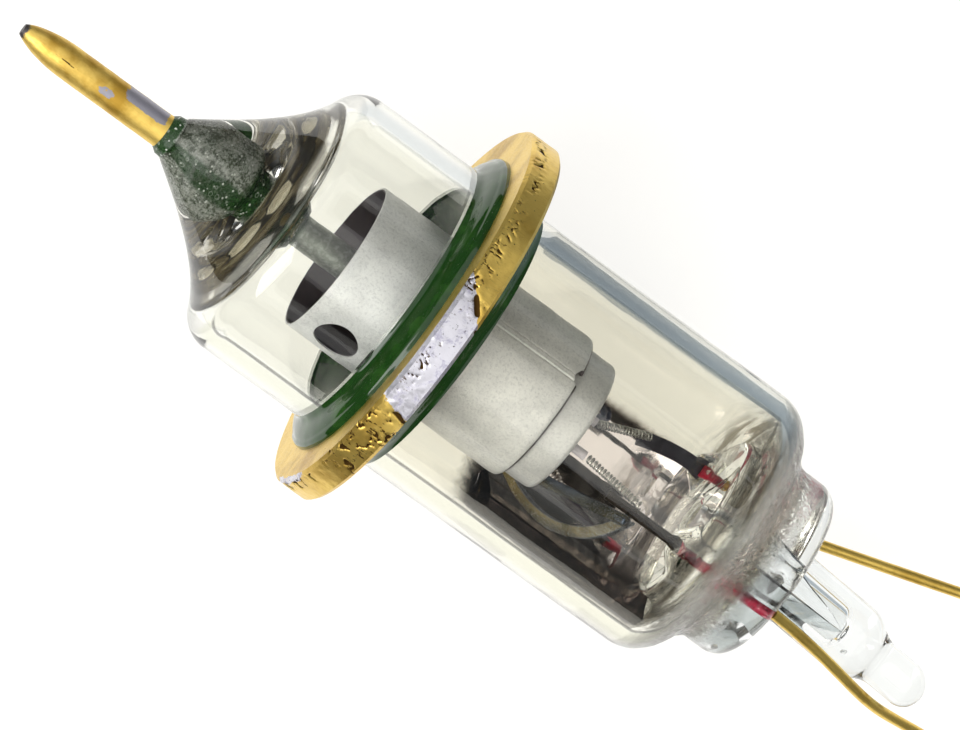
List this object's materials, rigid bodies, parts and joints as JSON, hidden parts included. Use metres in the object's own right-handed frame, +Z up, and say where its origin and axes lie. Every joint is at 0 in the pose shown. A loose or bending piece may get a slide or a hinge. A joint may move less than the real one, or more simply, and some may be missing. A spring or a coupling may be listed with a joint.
{
  "type": "diode vacuum tube",
  "caption": "Small glass diode vacuum tube with a gold-plated cathode ring round its middle, an anode pin at one end and wire heater leads at the other.",
  "frame": {"origin": "on the surface, under the middle of the whole length", "axes": "+X towards the heater leads, -X towards the raised pin, +Z up; the tube's own axis lies in the XZ plane and rises 10.58 degrees towards the pin"},
  "size_m": [0.0582, 0.018, 0.0179],
  "materials": {
    "gold_plate": "worn gold plating",
    "clear_glass": "clear, blown",
    "green_glass": "dark green, glossy",
    "nickel": "matt, fine-grained",
    "dark_metal": "dull grey",
    "alumina": "matt white coating",
    "copper_seal": "red oxide on copper"
  },
  "bodies": {
    "root": {"anode_pin": "gold_plate", "pin_bead": "green_glass", "top_glass": "clear_glass", "anode_disc": "dark_metal", "upper_shield": "nickel", "upper_seal": "green_glass", "cathode_ring": "gold_plate", "lower_seal": "green_glass", "lower_skirt": "nickel", "cathode_cup": "nickel", "heater_can": "nickel", "heater": "alumina", "heater_coil_a": "dark_metal", "heater_coil_b": "dark_metal", "heater_ribbon_a": "dark_metal", "heater_post_b": "dark_metal", "getter_channel": "dark_metal", "getter_strap": "dark_metal", "bulb_glass": "clear_glass", "button_stem": "clear_glass", "exhaust_tip": "clear_glass", "seal_wire_a": "copper_seal", "seal_wire_b": "copper_seal", "lead_a": "gold_plate", "lead_b": "gold_plate"}
  },
  "joints": []
}
